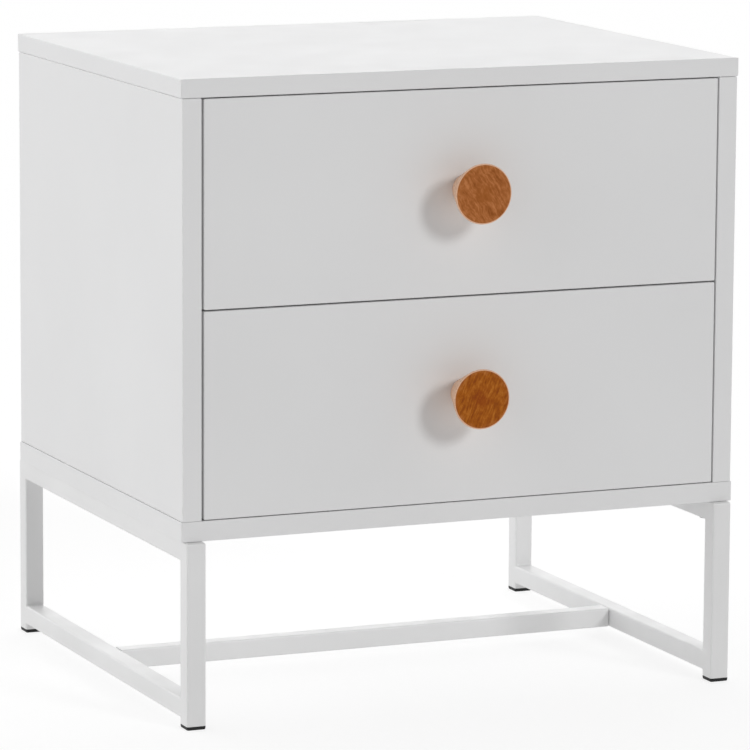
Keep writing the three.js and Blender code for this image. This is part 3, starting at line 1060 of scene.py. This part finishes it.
def makeDrawerBox(name):
    edge, end = drawer["boxEdge"], drawer["boxEnd"]
    groove = grooveFor(f"{name}_box_bottom")
    for side in ("left", "right"):
        node = f"{name}_box_{side}_side"
        shape = roundedBlock("y", *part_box(node), edge, end, end)
        pieceName = f"{name}Box{side.capitalize()}Side"
        makePiece(pieceName, shape, "drawer_box", [node], cutters=[groove])
    shape = roundedBlock("x", *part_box(f"{name}_box_back"), edge, end, end)
    makePiece(f"{name}BoxBack", shape, "drawer_box", [f"{name}_box_back"])
    shape = roundedBlock("z", *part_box(f"{name}_box_bottom"), drawer["bottomEdge"])
    makePiece(f"{name}BoxBottom", shape, "hardboard", [f"{name}_box_bottom"])


def markWood(mesh, faceCentre, faceRadius):
    # fromKnob is each point less the face's centre, and onFace is 1 on the face and 0 elsewhere
    points = np.empty(len(mesh.vertices) * 3, np.float32)
    mesh.vertices.foreach_get("co", points)
    points = points.reshape(-1, 3) - faceCentre
    radius = np.hypot(points[:, 0], points[:, 2])
    onFace = ((np.abs(points[:, 1]) < weldDistance) & (radius < faceRadius)).astype(np.float32)
    fromKnob = mesh.attributes.new("fromKnob", "FLOAT_VECTOR", "POINT")
    fromKnob.data.foreach_set("vector", points.ravel())
    mesh.attributes.new("onFace", "FLOAT", "POINT").data.foreach_set("value", onFace)


def makeKnob(name):
    # a straight cone from the base out to a rim of quarter-circle section, then a flat face;
    # the profile starts at the bottom of the screw's bore
    low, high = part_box(f"{name}_knob")
    centre = (low.x + high.x) / 2, (low.z + high.z) / 2
    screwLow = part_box(f"{name}_knob_screw")[0]
    bore = screw["shank"] + fit
    boreEnd = screwLow.y - fit
    rim, faceRadius, ease = knob["rim"], knob["faceRadius"], knob["baseEase"]
    arc = np.linspace(0, quarterTurn, knob["rimSteps"] + 1)
    inner = faceRadius - rim
    rimRows = np.stack([inner + rim * np.cos(arc), low.y + rim - rim * np.sin(arc)], axis=1)
    baseRow = np.array([knob["baseRadius"], high.y - ease])
    coneRows = baseRow + np.linspace(0, 1, knob["coneSteps"])[:, None] * (rimRows[0] - baseRow)
    seam = inner - knob["seam"]
    rings = [inner * share for share in knob["faceRings"]]
    faceRows = [(radius, low.y) for radius in (seam, *rings, 0)]
    start = [(0, boreEnd), (bore, boreEnd), (bore, high.y), (knob["baseRadius"] - ease, high.y)]
    profile = np.concatenate([start, coneRows, rimRows[1:], faceRows])
    shape = turned("y", centre, profile, knob["sides"])
    mesh = makePiece(f"{name}Knob", shape, "oiled_wood", [f"{name}_knob"]).data
    markWood(mesh, np.array([centre[0], low.y, centre[1]], np.float32), inner - knob["seam"] / 2)
    if name == "lower":
        mesh.materials[0] = lowerKnobWood


def makeKnobScrew(name):
    low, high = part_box(f"{name}_knob_screw")
    centre = (low + high) / 2
    shape, slots = panHeadScrew("y", (centre.x, centre.z), high.y - screw["headHeight"], low.y)
    makePiece(f"{name}KnobScrew", shape, "screw_steel", [f"{name}_knob_screw"], cutters=slots)


runner = {
    "gauge": 0.0012,
    "bend": 0.0016,
    "curl": 0.0016,
    "slotLength": 0.011,
    "slotWidth": 0.0044,
    "slotTaper": 0.98,
    "slotPlaces": (0.12, 0.36, 0.62, 0.88),  # of the length
    "screwPlaces": (0.05, 0.48, 0.8),
    "screwHeadSize": 0.68,
    "screwBite": 0.009,
}


def makeRunner(name, side, member):
    # the member's section is a bent strip: lip, bend, web, bend, lip; the lips' ends curl round
    # on the two outer members
    node = f"{name}_{side}_{member}_runner"
    low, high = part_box(node)
    gauge = runner["gauge"]
    opensInward = member != "drawer"
    webAtLow = (side == "left") == opensInward
    web = low.x + gauge / 2 if webAtLow else high.x - gauge / 2
    lip = high.x - gauge / 2 if webAtLow else low.x + gauge / 2
    top, bottom = high.z - gauge / 2, low.z + gauge / 2
    corners = [(lip, top), (web, top), (web, bottom), (lip, bottom)]
    if opensInward:
        curl = runner["curl"]
        corners = [(lip, top - curl), *corners, (lip, bottom + curl)]
    line = roundedLine(corners, runner["bend"] - gauge / 2)
    shape = straightBar("y", stripOutline(line, gauge), low.y, high.y)
    length = high.y - low.y
    middle = (low.z + high.z) / 2
    halfSlot, halfWidth = runner["slotLength"] / 2, runner["slotWidth"] / 2
    corner = halfWidth * runner["slotTaper"]
    rows = [(halfSlot, halfWidth, corner, web + way * gauge) for way in (-1, 1)]
    places = [(low.y + share * length, middle) for share in runner["slotPlaces"]]
    cutters = [squareSweep("x", centre, rows, steps=5) for centre in places]
    pieceName = f"{name}{side.capitalize()}{member.capitalize()}Runner"
    makePiece(pieceName, shape, "zinc", [node], cutters=cutters)
    if member != "middle":
        wallWay = -1 if webAtLow else 1
        seat = web - wallWay * gauge / 2
        end = seat + wallWay * runner["screwBite"]
        shapes, slots = [], []
        for share in runner["screwPlaces"]:
            centre = low.y + share * length, middle
            part, cut = panHeadScrew("x", centre, seat, end, runner["screwHeadSize"])
            shapes.append(part)
            slots += cut
        body = frame["nodes"][node]["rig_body"]
        makePiece(f"{pieceName}Screws", together(shapes), "screw_steel", rideOn=body, cutters=slots)


makeBoards()
makeSidePanels()
print("cabinet made")
makeSideFrames()
makeStretcher()
makeFootCaps()
makeFrameScrews()
print("base made")
for name in ("lower", "upper"):
    makeDrawerFront(name)
    makeDrawerBox(name)
    makeKnob(name)
    makeKnobScrew(name)
    for side in ("left", "right"):
        for member in ("cabinet", "middle", "drawer"):
            makeRunner(name, side, member)
    print(name, "drawer made")

# The pegs inside the stretcher and their set screws keep their own shape.
for node, slot in (("spigot", "zinc"), ("set_screw", "screw_steel")):
    for side in ("left", "right"):
        materials = frame["nodes"][f"{side}_{node}"].data.materials
        materials.clear()
        materials.append(materialFor[slot])


studio = {
    "skyBase": 0.03,
    "skyLeft": 1.22,
    "skyRight": 0.57,
    "skyBack": 1.74,
    "skySeen": 1.0,
    "sunFrom": (0.325, -0.765, 0.38),
    "sunStrength": 0.87,
    "sunSize": math.radians(14),
    "floorTone": 0.35,
    "floorLift": 0.42,
    "seenTone": 0.315,
    "seenLift": 0.75,
    "floorReach": 30.0,
}


def makeFloor():
    # a floor that gives off part of its light, so it stays pale under the cabinet; it takes a
    # fainter shadow where it is seen
    reach = studio["floorReach"]
    corners = np.array([(-1, -1, 0), (1, -1, 0), (1, 1, 0), (-1, 1, 0)], float) * reach
    mesh = bpy.data.meshes.new("studioFloor")
    mesh.from_pydata(corners.tolist(), [], [(0, 1, 2, 3)])
    material = bpy.data.materials.new("paleFloor")
    tree = emptyTree(material)
    looks = []
    for tone, lift in (("floorTone", "floorLift"), ("seenTone", "seenLift")):
        paint = addNode(tree, "BsdfDiffuse", {"Color": color(*(studio[tone],) * 3)})
        glow = addNode(tree, "Emission", {"Color": color(1, 1, 1), "Strength": studio[lift]})
        look = addNode(tree, "AddShader", {0: paint.outputs[0], 1: glow.outputs[0]})
        looks.append(look.outputs[0])
    seen = addNode(tree, "LightPath", {}).outputs["Is Camera Ray"]
    either = addNode(tree, "MixShader", {0: seen, 1: looks[0], 2: looks[1]})
    output = addNode(tree, "OutputMaterial", {})
    tree.links.new(either.outputs[0], output.inputs["Surface"])
    mesh.materials.append(material)
    addObject("studioFloor", mesh)


def makeSky():
    # light from all round, brightest from the left and from behind; plain white where it is seen
    world = bpy.data.worlds.new("softStudio")
    scene.world = world
    tree = emptyTree(world)
    way = addNode(tree, "TexCoord", {}).outputs["Generated"]
    parts = addNode(tree, "SeparateXYZ", {"Vector": way}).outputs
    left = maths(tree, "MAXIMUM", maths(tree, "MULTIPLY", parts["X"], -1.0), 0.0)
    left = maths(tree, "MULTIPLY", left, left)
    right = maths(tree, "MAXIMUM", parts["X"], 0.0)
    back = maths(tree, "MAXIMUM", parts["Y"], 0.0)
    terms = zip((left, right, back), (studio["skyLeft"], studio["skyRight"], studio["skyBack"]))
    total = maths(tree, "ADD", weighted(tree, *terms), studio["skyBase"])
    seen = addNode(tree, "LightPath", {}).outputs["Is Camera Ray"]
    lit = addNode(tree, "Background", {"Color": color(1, 1, 1), "Strength": total})
    plain = addNode(tree, "Background", {"Color": color(1, 1, 1), "Strength": studio["skySeen"]})
    either = addNode(tree, "MixShader", {0: seen, 1: lit.outputs[0], 2: plain.outputs[0]})
    output = addNode(tree, "OutputWorld", {})
    tree.links.new(either.outputs[0], output.inputs["Surface"])


def makeSun():
    light = bpy.data.lights.new("keyLight", "SUN")
    light.energy = studio["sunStrength"]
    light.angle = studio["sunSize"]
    thing = addObject("keyLight", light)
    thing.rotation_mode = "QUATERNION"
    thing.rotation_quaternion = Vector(studio["sunFrom"]).to_track_quat("Z", "Y")


makeFloor()
makeSky()
makeSun()
print("studio made")


viewpoint = {
    "place": (-1.496, -3.500, 0.861),
    "turnRight": math.radians(23.14),
    "lookDown": math.radians(9.49),
    "roll": math.radians(0.33),
    "lens": 238.8,
    "sensor": 36.0,
    "farthest": 60.0,
}


def makeCamera():
    camera = bpy.data.cameras.new("camera")
    camera.lens = viewpoint["lens"]
    camera.sensor_width = viewpoint["sensor"]
    camera.clip_end = viewpoint["farthest"]
    thing = addObject("camera", camera)
    turn = Matrix.Rotation(-viewpoint["turnRight"], 4, "Z")
    tilt = Matrix.Rotation(quarterTurn - viewpoint["lookDown"], 4, "X")
    roll = Matrix.Rotation(viewpoint["roll"], 4, "Z")
    thing.matrix_world = Matrix.Translation(viewpoint["place"]) @ turn @ tilt @ roll
    scene.camera = thing


makeCamera()
scene.view_settings.view_transform = "Standard"
print("camera set")
